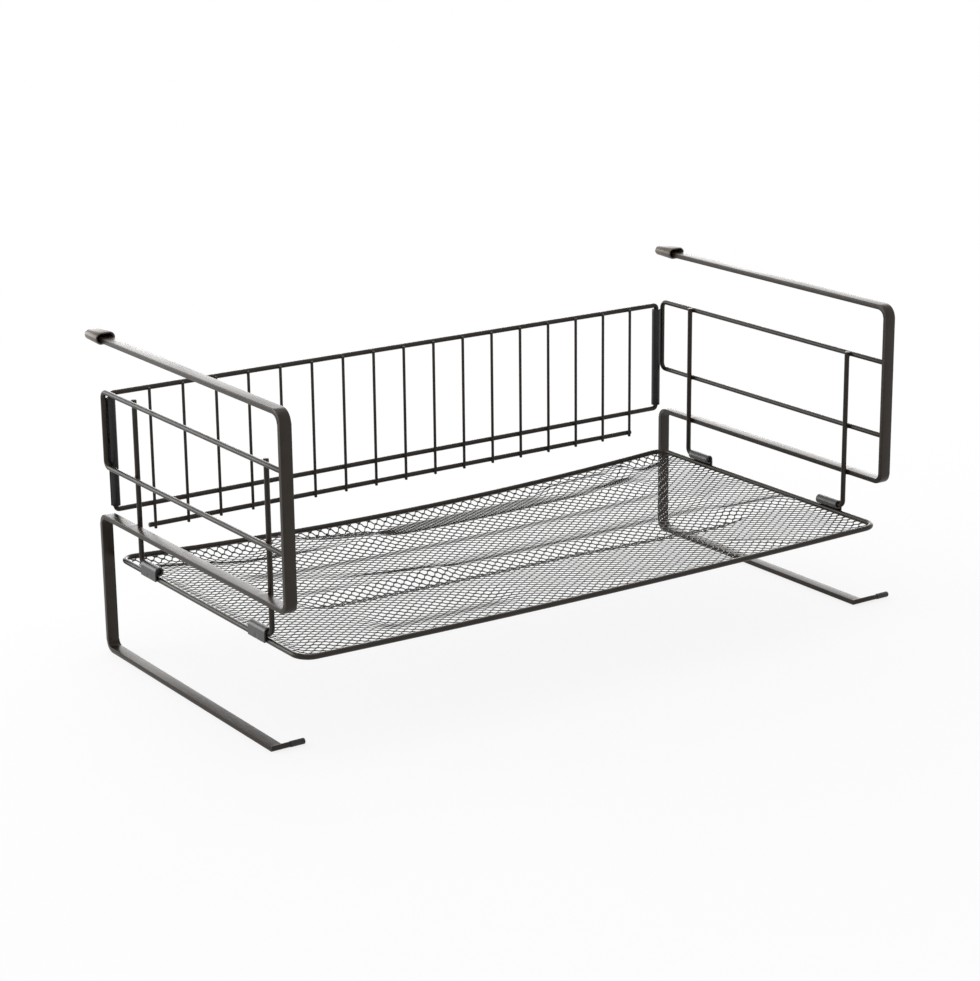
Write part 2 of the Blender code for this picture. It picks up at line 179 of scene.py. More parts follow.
# Peg tips, fluted outside, with a bore round the peg's spigot
TIP_ROUNDING = 0.0005
TIP_END_WALL = 0.0012
TIP_FLUTES = 20
TIP_FLUTE_DEPTH = 0.00010
SPIGOT_SHARE = 0.66

# Welds: soft swellings of this height and reach. Ends bite a little into
# what they are welded to, and the slats' welds are smaller by a share.
# The left rail is welded to its sleeve at two shares of the rail's height
WELD_HEIGHT = 0.00050
WELD_REACH = 0.0013
FLAT_WELD_REACH = 0.0019
WELD_CUTOFF = 5
WELD_BITE = 0.0002
SLAT_WELD_SHARE = 0.8
SLEEVE_WELDS = (0.35, 0.80)

# Steps of bends, rolled sheet, caps and tubes
BEND_STEPS = 12
ROLL_STEPS = 44
LEG_STEPS = 8
CLIP_STEPS = 36
SLEEVE_STEPS = 30
SHEET_EDGE_STEPS = 3
CAP_END_STEPS = 12
CAP_CORNER_STEPS = 10
WIRE_SIDES = 20
SLAT_SIDES = 16
TIP_SIDES = 120

# Points added along a wire near its welds and ends, and the least distance
# between two of them
WELD_STEPS = 6
WELD_STEP_SHARE = 2.4
END_STEPS = (0.3, 1.0)
LEAST_STEP = 0.00004

# Finish: how fine the mottled colour, the uneven gloss and the orange peel are
MOTTLE_SCALE = 160
MOTTLE_RANGE = (0.35, 0.68)
GLOSS_SCALE = 75
PEEL_SCALE = 620
PEEL_DEPTH = 0.0002
NOISE_RANGE = (0.3, 0.7)

# Camera, measured from the middle of the rim
CAMERA_AZIMUTH = math.radians(-33.968)
CAMERA_ELEVATION = math.radians(16.395)
CAMERA_ROLL = math.radians(-0.603)
CAMERA_RIGHT = -0.008357
CAMERA_UP = 0.030324
CAMERA_DISTANCE = 1.539838
FOCAL_PIXELS = 2591.35
IMAGE_PIXELS = 980
SENSOR_WIDTH = 36.0

# Lamps: name, place, size and the level of the lit face, where 1 is white
LAMPS_AIM = (0, 0, 0.10)
LAMPS = (
    ("rear_wash", (1.15, 1.75, 0.72), (2.8, 1.6), 2.0),
    ("low_rear", (0.98, 1.50, 0.17), (2.6, 0.28), 4.5),
    ("top_box", (-0.2, 0.1, 2.0), (1.6, 1.6), 1.2),
    ("left_wash", (-1.25, 1.45, 0.50), (1.6, 1.05), 3.8),
)
ROOM_FILL = 0.55

# Floor: plain white from FLOOR_FAR on, and mostly white up to FLOOR_NEAR
FLOOR_RADIUS = 6.0
FLOOR_SIDES = 96
FLOOR_NEAR_SHARE = 0.8
FLOOR_NEAR = 0.3
FLOOR_FAR = 0.9
FLOOR_TONES = (0.93, 0.95)
FLOOR_GRAIN = 9

rim_low, rim_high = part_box("tray_rim")
TRAY = Vector((
    (rim_low.x + rim_high.x) / 2,
    (rim_low.y + rim_high.y) / 2,
    rim_high.z - RIM_WIRE / 2,
))
HALF_LENGTH = (rim_high.x - rim_low.x - RIM_WIRE) / 2
HALF_DEPTH = (rim_high.y - rim_low.y - RIM_WIRE) / 2
REAR_SAG = TRAY.z - RIM_WIRE / 2 - rim_low.z

X_AXIS = Vector((1, 0, 0))
Y_AXIS = Vector((0, 1, 0))
Z_AXIS = Vector((0, 0, 1))


def span(node):
    """Give a node's lowest and highest corners, measured from TRAY."""
    low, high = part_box(node)
    return low - TRAY, high - TRAY


def middle(node):
    """Give the middle of a node's box, measured from TRAY."""
    low, high = span(node)
    return (low + high) / 2


# Paths

def fillet(corners, steps=BEND_STEPS, closed=False):
    """Round a path's corners: each corner is a point with its bend radius."""
    points = []
    count = len(corners)
    for index, (corner, radius) in enumerate(corners):
        corner = Vector(corner)
        is_end = not closed and index in (0, count - 1)
        if is_end or radius == 0:
            points.append(corner)
            continue
        before = (Vector(corners[index - 1][0]) - corner).normalized()
        after = (Vector(corners[(index + 1) % count][0]) - corner).normalized()
        half_angle = before.angle(after) / 2
        centre = corner + (before + after).normalized() * (radius / math.sin(half_angle))
        start = corner + before * (radius / math.tan(half_angle)) - centre
        axis = before.cross(after).normalized()
        angle = math.pi - 2 * half_angle
        for step in range(steps + 1):
            turn = Matrix.Rotation(-angle * step / steps, 3, axis)
            points.append(centre + turn @ start)
    return points


def lengths_along(points, closed):
    """Give each point's distance along a path, and last the whole length if it is closed."""
    loop = points + points[:1] if closed else points
    along = [0.0]
    for start, end in zip(loop, loop[1:]):
        along.append(along[-1] + (end - start).length)
    return loop, along


def refine(points, places, reach, closed=False):
    """Add points to a path near places that need them, and near its ends."""
    loop, along = lengths_along(points, closed)
    marks = set(round(value, 7) for value in along)
    for place in places:
        best = None
        for index, (start, end) in enumerate(zip(loop, loop[1:])):
            run = end - start
            share = min(1.0, max(0.0, (place - start).dot(run) / run.length_squared))
            away = (start + run * share - place).length
            if best is None or away < best[0]:
                best = (away, along[index] + run.length * share)
        for step in range(-WELD_STEPS, WELD_STEPS + 1):
            mark = best[1] + step * reach / WELD_STEP_SHARE
            if closed:
                mark %= along[-1]
            if 0 < mark < along[-1]:
                marks.add(round(mark, 7))
    if not closed:
        for depth in END_STEPS:
            marks.add(round(WIRE_END * depth, 7))
            marks.add(round(along[-1] - WIRE_END * depth, 7))
    ordered = sorted(marks)
    kept = [ordered[0]]
    for mark in ordered[1:]:
        if mark - kept[-1] > LEAST_STEP:
            kept.append(mark)
    if closed:
        kept = [mark for mark in kept if mark < along[-1] - LEAST_STEP]
    refined = []
    index = 0
    for mark in kept:
        while index < len(along) - 2 and along[index + 1] < mark:
            index += 1
        start, end = loop[index], loop[index + 1]
        share = (mark - along[index]) / (along[index + 1] - along[index])
        refined.append(start.lerp(end, share))
    return refined


# Meshes

def new_piece(name, bm, smooth_angle=35):
    """Make an object from a bmesh drawn round TRAY."""
    bmesh.ops.recalc_face_normals(bm, faces=bm.faces[:])
    bmesh.ops.translate(bm, vec=TRAY, verts=bm.verts[:])
    mesh = bpy.data.meshes.new(name)
    bm.to_mesh(mesh)
    bm.free()
    mesh.shade_smooth()
    mesh.set_sharp_from_angle(angle=math.radians(smooth_angle))
    piece = bpy.data.objects.new(name, mesh)
    bpy.context.scene.collection.objects.link(piece)
    return piece


def dress(node, piece, material):
    """Put a piece in the place of a node, on the node's body."""
    piece.data.materials.append(material)
    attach(piece, frame["nodes"][node]["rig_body"])
    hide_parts(node)
    return piece


def join_rows(bm, rows, closed):
    """Join rows of vertices into a tube, with flat ends unless it is closed."""
    pairs = list(zip(rows, rows[1:]))
    if closed:
        pairs.append((rows[-1], rows[0]))
    for row, following in pairs:
        for index in range(len(row)):
            after = (index + 1) % len(row)
            bm.faces.new((row[index], row[after], following[after], following[index]))
    if not closed:
        bm.faces.new(rows[0])
        bm.faces.new(rows[-1])


def round_section(diameter, sides):
    """Give the points of a round section."""
    points = []
    for k in range(sides):
        angle = math.tau * k / sides
        points.append((math.cos(angle) * diameter / 2, math.sin(angle) * diameter / 2))
    return points


def rounded_section(width, height, radius, steps=4):
    """Give the points of a rectangular section with rounded corners."""
    points = []
    for quarter in range(4):
        turn = math.pi / 2 * quarter
        across = width / 2 - radius
        up = height / 2 - radius
        corner = ((across, up), (-across, up), (-across, -up), (across, -up))[quarter]
        for step in range(steps + 1):
            angle = turn + math.pi / 2 * step / steps
            points.append((
                corner[0] + radius * math.cos(angle),
                corner[1] + radius * math.sin(angle),
            ))
    return points


def swelling(place, tangent, outward, welds):
    """Give how far the surface stands out at a point of it, because of welds nearby."""
    total = 0.0
    for centre, direction, height, reach in welds:
        offset = place - centre
        if offset.length > WELD_CUTOFF * reach:
            continue
        facing = outward.dot(direction)
        if facing <= 0:
            continue
        total += height * facing ** 2 * math.exp(-((offset.dot(tangent) / reach) ** 2))
    return total


def sweep(bm, path, across, section, closed=False, welds=(), spread=0.0):
    """Sweep a section along a flat path that is square to the direction across.

    Sheet and strip that is bent grows wider inside the bend, by the spread.
    """
    count = len(path)
    across = Vector(across)
    rows = []
    along = lengths_along(path, closed)[1]
    for index, point in enumerate(path):
        before = path[index - 1] if closed or index > 0 else point
        after = path[(index + 1) % count] if closed or index < count - 1 else point
        tangent = (after - before).normalized()
        side = tangent.cross(across).normalized()
        lift = side.cross(tangent)
        inset = 0.0
        if not closed:
            depth = min(along[index], along[count - 1] - along[index]) / WIRE_END
            if depth < 1:
                inset = WIRE_END * (1 - math.sqrt(1 - (1 - depth) ** 2)) * WIRE_END_SHARE
        bend = 0.0
        if spread > 0 and 0 < index < count - 1:
            turn = (after - point).normalized() - (point - before).normalized()
            bend = turn.dot(side) / ((after - before).length / 2) * STRIP_THICKNESS
        row = []
        for u, v in section:
            reach = math.hypot(u, v)
            shrink = 1 - inset / reach
            inward = v / (STRIP_THICKNESS / 2) * bend
            place = point + lift * (u * shrink * (1 + spread * inward)) + side * (v * shrink)
            if welds:
                outward = (lift * u + side * v) / reach
                place += outward * swelling(place, tangent, outward, welds)
            row.append(bm.verts.new(place))
        rows.append(row)
    join_rows(bm, rows, closed)


def wire(node, path, across, diameter, closed=False, welds=(), sides=WIRE_SIDES):
    """Draw a coated wire along a path, swollen where it is welded."""
    path = [Vector(point) for point in path]
    path = refine(path, [weld[0] for weld in welds], WELD_REACH, closed)
    bm = bmesh.new()
    sweep(bm, path, across, round_section(diameter, sides), closed, welds)
    return new_piece(node + "_wire", bm)


def turned(bm, profile, start, sides, flutes=0, flute_depth=0.0):
    """Turn a profile of radius and distance round the +X line from the start."""
    rows = []
    for radius, along in profile:
        row = []
        for k in range(sides):
            angle = math.tau * k / sides
            reach = radius
            if flutes and radius > flute_depth * 4:
                reach -= flute_depth * (0.5 - 0.5 * math.cos(angle * flutes))
            row.append(bm.verts.new(
                Vector(start) + Vector((along, math.cos(angle) * reach, math.sin(angle) * reach))
            ))
        rows.append(row)
    join_rows(bm, rows, closed=False)


def arc(centre, radius, start, sweep_angle, first, second, steps=ROLL_STEPS):
    """Give points on an arc round a centre, in the plane of two directions."""
    points = []
    for step in range(steps + 1):
        angle = start + sweep_angle * step / steps
        outward = Vector(first) * math.cos(angle) + Vector(second) * math.sin(angle)
        points.append(Vector(centre) + outward * radius)
    return points


def rolled(node, path, along, stations, thickness, dents=()):
    """Draw rolled sheet that follows a path, pressed in at its dents."""
    bm = bmesh.new()
    along = Vector(along)
    rows = []
    for place in path:
        rows.append([bm.verts.new(Vector(place) + along * station) for station in stations])
    for row, following in zip(rows, rows[1:]):
        for index in range(len(row) - 1):
            bm.faces.new((row[index], following[index], following[index + 1], row[index + 1]))
    for centre, push, reach in dents:
        for vertex in bm.verts:
            away = (vertex.co - Vector(centre)).length / reach
            vertex.co += Vector(push) * math.exp(-(away ** 2))
    piece = new_piece(node + "_sheet", bm, smooth_angle=SHEET_SMOOTH_ANGLE)
    shell = piece.modifiers.new("thickness", "SOLIDIFY")
    shell.thickness = thickness
    shell.offset = 0
    shell.use_even_offset = True
    edges = piece.modifiers.new("edges", "BEVEL")
    edges.width = SHEET_EDGE
    edges.segments = SHEET_EDGE_STEPS
    edges.limit_method = "ANGLE"
    edges.angle_limit = SHEET_EDGE_ANGLE
    return piece


# The tray's shape

def tray_drop(x, y):
    """Give how far the rim and the mesh hang below the rim's corners."""
    to_rear = (y + HALF_DEPTH) / (2 * HALF_DEPTH)
    sag = FRONT_SAG * (1 - to_rear) + REAR_SAG * to_rear
    return sag * np.maximum(0.0, 1 - (x / HALF_LENGTH) ** 2)


def pressed_height(x, y):
    """Give the height of the pressed grooves and of the sheet drawn along with them."""
    past_end = np.maximum(0.0, np.abs(x) - (GROOVE_LENGTH / 2 - GROOVE_END)) / GROOVE_END
    turn = np.interp(x, EDGE_TURN_X, (0.0, EDGE_TURN))
    in_front = np.clip((PRESSED_Y[2] - y) / (PRESSED_Y[2] - PRESSED_Y[0]), 0.0, 1.0)
    height = np.interp(y + turn * in_front, PRESSED_Y, PRESSED_Z)
    return height * np.clip(1.0 - past_end ** 2, 0.0, 1.0)


def wave_height(x, y):
    """Give the height of the sheet's soft ridges and valleys."""
    height = 0.0
    for start, end, half_width, rise in WAVES:
        run_x, run_y = end[0] - start[0], end[1] - start[1]
        share = ((x - start[0]) * run_x + (y - start[1]) * run_y) / (run_x ** 2 + run_y ** 2)
        share = np.clip(share, 0.0, 1.0)
        away = np.hypot(x - start[0] - run_x * share, y - start[1] - run_y * share)
        height = height + rise * np.exp(-((away / half_width) ** 2))
    return height


def sheet_height(x, y):
    """Give the mesh sheet's height under or over the rim's corners."""
    edge = np.minimum(HALF_LENGTH - np.abs(x), HALF_DEPTH - np.abs(y))
    dish = DISH_DEPTH * np.clip(edge / DISH_REACH, 0.0, 1.0)
    waves = wave_height(x, y) * np.clip(edge / WAVE_FADE, 0.0, 1.0)
    return np.minimum(waves + pressed_height(x, y) - dish - tray_drop(x, y), WAVE_LIMIT)


# Materials

def link(tree, source, output, target, socket):
    """Link two nodes' sockets by name."""
    tree.links.new(source.outputs[output], target.inputs[socket])


def noise(tree, coordinates, scale, detail, stretch=None):
    """Add a noise texture in the part's own coordinates, stretched if asked."""
    texture = tree.nodes.new("ShaderNodeTexNoise")
    texture.inputs["Scale"].default_value = scale
    texture.inputs["Detail"].default_value = detail
    if stretch is None:
        link(tree, coordinates, "Object", texture, "Vector")
    else:
        mapping = tree.nodes.new("ShaderNodeMapping")
        mapping.inputs["Scale"].default_value = stretch
        link(tree, coordinates, "Object", mapping, "Vector")
        link(tree, mapping, "Vector", texture, "Vector")
    return texture


def spread_value(tree, texture, low, high):
    """Map a noise texture's middle range to a range of values."""
    mapping = tree.nodes.new("ShaderNodeMapRange")
    mapping.inputs["From Min"].default_value = NOISE_RANGE[0]
    mapping.inputs["From Max"].default_value = NOISE_RANGE[1]
    mapping.inputs["To Min"].default_value = low
    mapping.inputs["To Max"].default_value = high
    link(tree, texture, "Fac", mapping, "Value")
    return mapping


def coated(name, dark, light, roughness, specular, peel, tint=(1, 1, 1), stretch=None):
    """Make a sprayed and baked finish: mottled colour, uneven gloss and orange peel."""
    material = bpy.data.materials.new(name)
    material.use_nodes = True
    tree = material.node_tree
    shader = tree.nodes["Principled BSDF"]
    coordinates = tree.nodes.new("ShaderNodeTexCoord")
    shader.inputs["Specular IOR Level"].default_value = specular
    shader.inputs["Specular Tint"].default_value = (*tint, 1)
    mottle = noise(tree, coordinates, MOTTLE_SCALE, detail=4)
    ramp = tree.nodes.new("ShaderNodeValToRGB")
    ramp.color_ramp.elements[0].position = MOTTLE_RANGE[0]
    ramp.color_ramp.elements[0].color = (*dark, 1)
    ramp.color_ramp.elements[1].position = MOTTLE_RANGE[1]
    ramp.color_ramp.elements[1].color = (*light, 1)
    link(tree, mottle, "Fac", ramp, "Fac")
    link(tree, ramp, "Color", shader, "Base Color")
    gloss = noise(tree, coordinates, GLOSS_SCALE, detail=3, stretch=stretch)
    gloss_range = spread_value(tree, gloss, roughness[0], roughness[1])
    link(tree, gloss_range, "Result", shader, "Roughness")
    peel_noise = noise(tree, coordinates, PEEL_SCALE, detail=1.5, stretch=stretch)
    bump = tree.nodes.new("ShaderNodeBump")
    bump.inputs["Strength"].default_value = peel
    bump.inputs["Distance"].default_value = PEEL_DEPTH
    link(tree, peel_noise, "Fac", bump, "Height")
    link(tree, bump, "Normal", shader, "Normal")
    return material


# The warm tint of what most coats mirror
WARM = (1.0, 0.955, 0.895)
WIRE_COAT = coated(
    "wire_coat", (0.0110, 0.0074, 0.0050), (0.0175, 0.0120, 0.0085),
    roughness=(0.28, 0.38), specular=0.30, peel=0.16, tint=WARM,
)
STRIP_COAT = coated(
    "strip_coat", (0.0130, 0.0084, 0.0054), (0.0200, 0.0132, 0.0088),
    roughness=(0.28, 0.37), specular=0.32, peel=0.12, tint=WARM, stretch=(1, 0.25, 1),
)
SHEET_COAT = coated(
    "sheet_coat", (0.0070, 0.0067, 0.0067), (0.0108, 0.0104, 0.0104),
    roughness=(0.28, 0.38), specular=0.32, peel=0.16,
)
# Clips: a dark coat painted lighter and greyer than the wires' coat, a painted sheen that stands in
# for the light their legs mirror
CLIP_COAT_AND_SHEEN = coated(
    "clip_coat_and_sheen", (0.0330, 0.0315, 0.0305), (0.0450, 0.0430, 0.0415),
    roughness=(0.30, 0.40), specular=0.55, peel=0.16,
)
MESH_COAT = coated(
    "mesh_coat", (0.0120, 0.0100, 0.0086), (0.0190, 0.0160, 0.0140),
    roughness=(0.30, 0.40), specular=0.36, peel=0.10, tint=WARM,
)
CAP_PLASTIC = coated(
    "cap_plastic", (0.0980, 0.0800, 0.0650), (0.1180, 0.0980, 0.0800),
    roughness=(0.28, 0.36), specular=0.45, peel=0.14, tint=WARM,
)
TIP_PLASTIC = coated(
    "tip_plastic", (0.0070, 0.0070, 0.0074), (0.0110, 0.0110, 0.0116),
    roughness=(0.42, 0.52), specular=0.4, peel=0.20,
)


# Tray

def add_rim():
    """Draw the rim wire, whose long sides hang a little."""
    corners = []
    for side in (-1, 1):
        corners.append(((-side * HALF_LENGTH, side * HALF_DEPTH, 0), RIM_CORNER))
        for step in range(1, SAG_STEPS):
            x = side * 2 * HALF_LENGTH * (step / SAG_STEPS - 0.5)
            corners.append(((x, side * HALF_DEPTH, 0), 0))
        corners.append(((side * HALF_LENGTH, side * HALF_DEPTH, 0), RIM_CORNER))
    path = fillet(corners, closed=True)
    path = [Vector((p.x, p.y, -float(tray_drop(p.x, p.y)))) for p in path]
    bm = bmesh.new()
    sweep(bm, path, Z_AXIS, round_section(RIM_WIRE, WIRE_SIDES), closed=True)
    dress("tray_rim", new_piece("tray_rim_wire", bm), WIRE_COAT)


def strand_stations(row, rows, reach_x, corner_x, corner_y, corner):
    """Give the centre line of one zigzag strand of the mesh, cut at the rim."""
    low_y = (row - rows / 2) * GAP_WIDTH / 2
    overlap = STRAND_WIDTH * STRAND_OVERLAP
    half = GAP_LENGTH / 2
    count = math.ceil(reach_x / half) + 1
    bond = BOND_LENGTH / 2
    bond_end = bond + BOND_CURVE
    xs = []
    ys = []
    for node in range(-count, count + 1):
        up = (node + row) % 2
        y = low_y + GAP_WIDTH / 2 - overlap if up else low_y + overlap
        lean = -BOND_CURVE * BOND_LEAN if up else BOND_CURVE * BOND_LEAN
        for away, rise in ((-bond_end, lean), (-bond, 0), (bond, 0), (bond_end, lean)):
            xs.append(node * half + away)
            ys.append(y + rise)
    xs = np.array(xs)
    ys = np.array(ys)
    row_y = abs(low_y + GAP_WIDTH / 4)
    limit = reach_x
    if row_y > corner_y:
        limit = corner_x + math.sqrt(max(0.0, corner ** 2 - (row_y - corner_y) ** 2))
    inside = np.abs(xs) < limit
    cut_x = np.concatenate(([-limit], xs[inside], [limit]))
    return cut_x, np.interp(cut_x, xs, ys)


def add_net():
    """Draw the expanded mesh: zigzag strands bonded side by side."""
    inset = RIM_WIRE * NET_INSET
    reach_x = HALF_LENGTH - inset
    reach_y = HALF_DEPTH - inset
    corner = RIM_CORNER - inset
    rows = int(2 * reach_y / (GAP_WIDTH / 2))
    points = []
    faces = []
    for row in range(rows):
        x, y = strand_stations(row, rows, reach_x, reach_x - corner, reach_y - corner, corner)
        z = sheet_height(x, y)
        centre = np.stack((x, y, z), axis=1)
        tangent = np.gradient(centre, axis=0)
        tangent /= np.linalg.norm(tangent, axis=1)[:, None]
        step = SLOPE_STEP
        slope_x = (sheet_height(x + step, y) - sheet_height(x - step, y)) / (2 * step)
        slope_y = (sheet_height(x, y + step) - sheet_height(x, y - step)) / (2 * step)
        normal = np.stack((-slope_x, -slope_y, np.ones_like(x)), axis=1)
        normal /= np.linalg.norm(normal, axis=1)[:, None]
        side = np.cross(normal, tangent)
        side /= np.linalg.norm(side, axis=1)[:, None]
        wide = side * math.cos(STRAND_TILT) + normal * math.sin(STRAND_TILT)
        thin = normal * math.cos(STRAND_TILT) - side * math.sin(STRAND_TILT)
        wide *= STRAND_WIDTH / 2
        thin *= STRAND_THICKNESS / 2
        ring = np.stack((
            centre - wide - thin,
            centre + wide - thin,
            centre + wide + thin,
            centre - wide + thin,
        ), axis=1)
        first = len(points)
        points.extend(ring.reshape(-1, 3).tolist())
        for index in range(len(x) - 1):
            base = first + index * 4
            for corner_index in range(4):
                after = (corner_index + 1) % 4
                faces.append((
                    base + corner_index, base + after,
                    base + 4 + after, base + 4 + corner_index,
                ))
        last = first + (len(x) - 1) * 4
        faces.append((first + 3, first + 2, first + 1, first))
        faces.append((last, last + 1, last + 2, last + 3))
    mesh = bpy.data.meshes.new("tray_mesh_strands")
    mesh.from_pydata((np.array(points) + np.array(TRAY)).tolist(), [], faces)
    mesh.update()
    piece = bpy.data.objects.new("tray_mesh_strands", mesh)
    bpy.context.scene.collection.objects.link(piece)
    dress("tray_mesh", piece, MESH_COAT)


def add_clip(side_name, side, place_name):
    """Draw a rolled clip with its leg down the outside of the rim."""
    node = f"clip_{side_name}_{place_name}"
    low, high = span(node)
    upright_low = span(f"{side_name}_{place_name}_upright")[0]
    hinge_x = middle(f"{side_name}_{place_name}_upright").x
    wire_radius = (span(f"{side_name}_{place_name}_upright")[1].x - upright_low.x) / 2
    hinge_z = upright_low.z + wire_radius
    outer = high.z - hinge_z
    radius = outer - CLIP_SHEET / 2
    leg_x = (low.x if side < 0 else high.x) - side * CLIP_SHEET / 2
    leg_top = hinge_z - (outer - CLIP_SHEET)
    centre = Vector((hinge_x, (low.y + high.y) / 2, hinge_z))
    path = []
    for step in range(LEG_STEPS + 1):
        path.append(Vector((leg_x, centre.y, low.z + (leg_top - low.z) * step / LEG_STEPS)))
    path += arc(centre, radius, 0, CLIP_ROLL, (side, 0, 0), (0, 0, 1))
    length = high.y - low.y
    stations = [(step / CLIP_STEPS - 0.5) * length for step in range(CLIP_STEPS + 1)]
    dimple_place = Vector((leg_x, centre.y, (low.z + leg_top) / 2))
    dimple_push = Vector((-side * DIMPLE_DEPTH, 0, 0))
    dents = [(dimple_place, dimple_push, DIMPLE_REACH)]
    piece = rolled(node, path, Y_AXIS, stations, CLIP_SHEET, dents=dents)
    dress(node, piece, CLIP_COAT_AND_SHEEN)


# Side frames

def strip_levels(side_name):
    """Give the strip's middle x, width and the places of its runs."""
    low, high = span(f"{side_name}_strip")
    half = STRIP_THICKNESS / 2
    return {
        "x": (low.x + high.x) / 2,
        "width": high.x - low.x,
        "top": high.z - half,
        "bottom": low.z + half,
        "front": low.y + half,
        "end": high.y,
        "rear": middle("back_frame").y,
    }


def add_strip(side_name, side):
    """Draw the flat strip: top arm, front post, lower strip, rear post and bottom arm."""
    node = f"{side_name}_strip"
    at = strip_levels(side_name)
    x = at["x"]
    peg_y = middle(f"{side_name}_peg").y
    corners = [
        ((x, at["end"], at["top"]), 0),
        ((x, at["front"], at["top"]), TOP_FRONT_BEND),
        ((x, at["front"], LOWER_STRIP_Z), LOWER_FRONT_BEND),
        ((x, at["rear"], LOWER_STRIP_Z), REAR_BEND),
        ((x, at["rear"], at["bottom"]), REAR_BEND),
        ((x, peg_y - WELD_BITE, at["bottom"]), 0),
    ]
    inner = x - side * at["width"] / 2
    inward = Vector((-side, 0, 0))
    welds = []
    for place_name in ("front", "rear"):
        upright = span(f"{side_name}_{place_name}_upright")
        radius = (upright[1].x - upright[0].x) / 2
        y = upright[0].y + radius if place_name == "front" else upright[1].y - radius
        welds.append((Vector((inner, y, LOWER_STRIP_Z)), inward, WELD_HEIGHT, FLAT_WELD_REACH))
    path = refine(fillet(corners), [weld[0] for weld in welds], FLAT_WELD_REACH)
    bm = bmesh.new()
    section = rounded_section(at["width"], STRIP_THICKNESS, STRIP_EDGE)
    sweep(bm, path, X_AXIS, section, welds=welds, spread=BEND_SPREAD)
    dress(node, new_piece(node + "_bar", bm), STRIP_COAT)


def add_rail(side_name, side):
    """Draw the U-shaped rail wire, welded to the front post, the uprights and the sleeve."""
    node = f"{side_name}_rail"
    low, high = span(node)
    radius = (high.x - low.x) / 2
    x = (low.x + high.x) / 2
    front = low.y - WELD_GAP - WELD_BITE
    corners = [
        ((x, front, high.z - radius), 0),
        ((x, high.y - radius, high.z - radius), RAIL_BEND),
        ((x, high.y - radius, low.z + radius), RAIL_BEND),
        ((x, front, low.z + radius), 0),
    ]
    welds = []
    inward = Vector((-side, 0, 0))
    for z in (high.z - radius, low.z + radius):
        for place_name in ("front", "rear"):
            upright = span(f"{side_name}_{place_name}_upright")
            y = upright[0].y + radius if place_name == "front" else upright[1].y - radius
            welds.append((Vector((x, y, z)), inward, WELD_HEIGHT, WELD_REACH))
    if side < 0:
        for share in SLEEVE_WELDS:
            level = low.z + (high.z - low.z) * share
            welds.append((Vector((x, high.y - radius, level)), inward, WELD_HEIGHT, 2 * WELD_REACH))
    piece = wire(node, fillet(corners), X_AXIS, radius * 2, welds=welds)
    dress(node, piece, WIRE_COAT)


def add_upright(side_name, side, place_name):
    """Draw an upright wire whose foot turns into its clip."""
    node = f"{side_name}_{place_name}_upright"
    low, high = span(node)
    radius = (high.x - low.x) / 2
    x = (low.x + high.x) / 2
    if place_name == "front":
        y, foot_y = low.y + radius, high.y
    else:
        y, foot_y = high.y - radius, low.y
    corners = [
        ((x, y, high.z), 0),
        ((x, y, low.z + radius), FOOT_BEND),
        ((x, foot_y, low.z + radius), 0),
    ]
    rail_low, rail_high = span(f"{side_name}_rail")
    outward = Vector((side, 0, 0))
    welds = []
    for z in (rail_high.z - radius, rail_low.z + radius):
        welds.append((Vector((x, y, z)), outward, WELD_HEIGHT, WELD_REACH))
    welds.append((Vector((x, y, LOWER_STRIP_Z)), outward, WELD_HEIGHT, WELD_REACH))
    piece = wire(node, fillet(corners), X_AXIS, radius * 2, welds=welds)
    dress(node, piece, WIRE_COAT)


def add_cap(side_name):
    """Draw the cap on the top arm's end: tapered and rounded outside, open at its mouth."""
    node = f"{side_name}_arm_cap"
    low, high = span(node)
    centre = (low + high) / 2
    width, _, height = high - low
    arm_end = span(f"{side_name}_strip")[1].y
    mouth = low.y
    outline = [
        (arm_end + WELD_GAP, CAP_WALL),
        (mouth + CAP_LIP, CAP_WALL),
        (mouth, CAP_WALL - CAP_LIP * 0.7),
        (mouth, CAP_LIP),
        (mouth + CAP_LIP * 0.3, CAP_LIP * 0.3),
        (mouth + CAP_LIP, 0),
    ]
    for step in range(CAP_END_STEPS + 1):
        angle = math.pi / 2 * step / CAP_END_STEPS
        outline.append((
            high.y - CAP_ROUNDING + CAP_ROUNDING * math.sin(angle),
            CAP_TAPER + CAP_ROUNDING * (1 - math.cos(angle)),
        ))
    bm = bmesh.new()
    rows = []
    for y, inset in outline:
        w = width - 2 * inset
        h = height - 2 * inset
        section = rounded_section(w, h, h / 2 * CAP_SIDE_SHARE, steps=CAP_CORNER_STEPS)
        rows.append([bm.verts.new(Vector((centre.x + u, y, centre.z + v))) for u, v in section])
    join_rows(bm, rows, closed=False)
    dress(node, new_piece(node + "_shell", bm), CAP_PLASTIC)


